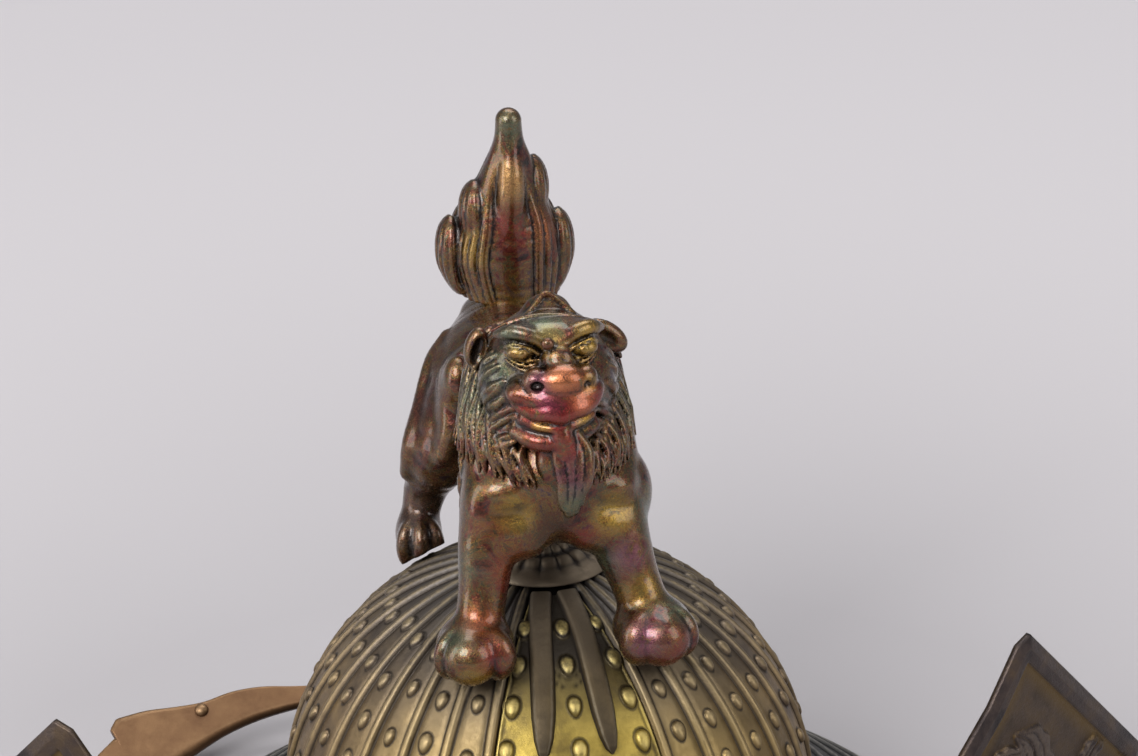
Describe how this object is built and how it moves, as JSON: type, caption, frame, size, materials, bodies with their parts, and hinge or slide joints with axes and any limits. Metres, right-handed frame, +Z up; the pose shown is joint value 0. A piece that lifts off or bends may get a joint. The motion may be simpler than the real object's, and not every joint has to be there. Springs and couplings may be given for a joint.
{
  "type": "kabuto samurai helmet",
  "caption": "Ribbed, riveted bronze kabuto with a lion standing on the crown, turned-back wings, a visor, a flared neck guard and a copper rear crest.",
  "frame": {"origin": "on the surface the helmet rests on, under the centre of its bounding box", "axes": "+Z up, the wearer faces -Y, +X towards the wearer's left"},
  "size_m": [0.5588, 0.3378, 0.3374],
  "materials": {
    "dark_bronze": "aged brown bronze, rubbed golden on the high edges",
    "gilt_bronze": "worn olive-gold plate",
    "lion_bronze": "glossy bronze with a red, green and gold patina",
    "grey_iron": "dark grey iron, satin",
    "copper": "brown copper, satin"
  },
  "bodies": {
    "root": {"bowl": "dark_bronze", "front_plate": "gilt_bronze", "dome_finger_right": "dark_bronze", "dome_finger_left": "dark_bronze", "crown_rosette": "dark_bronze", "base_band": "dark_bronze", "visor": "grey_iron", "neck_lame_1": "grey_iron", "neck_lame_2": "grey_iron", "neck_lame_3": "grey_iron", "neck_lame_4": "grey_iron", "turned_wing_right": "dark_bronze", "turned_wing_left": "dark_bronze", "crest_post": "grey_iron", "rear_crest": "copper", "lion": "lion_bronze", "lion_tail": "lion_bronze"}
  },
  "joints": []
}
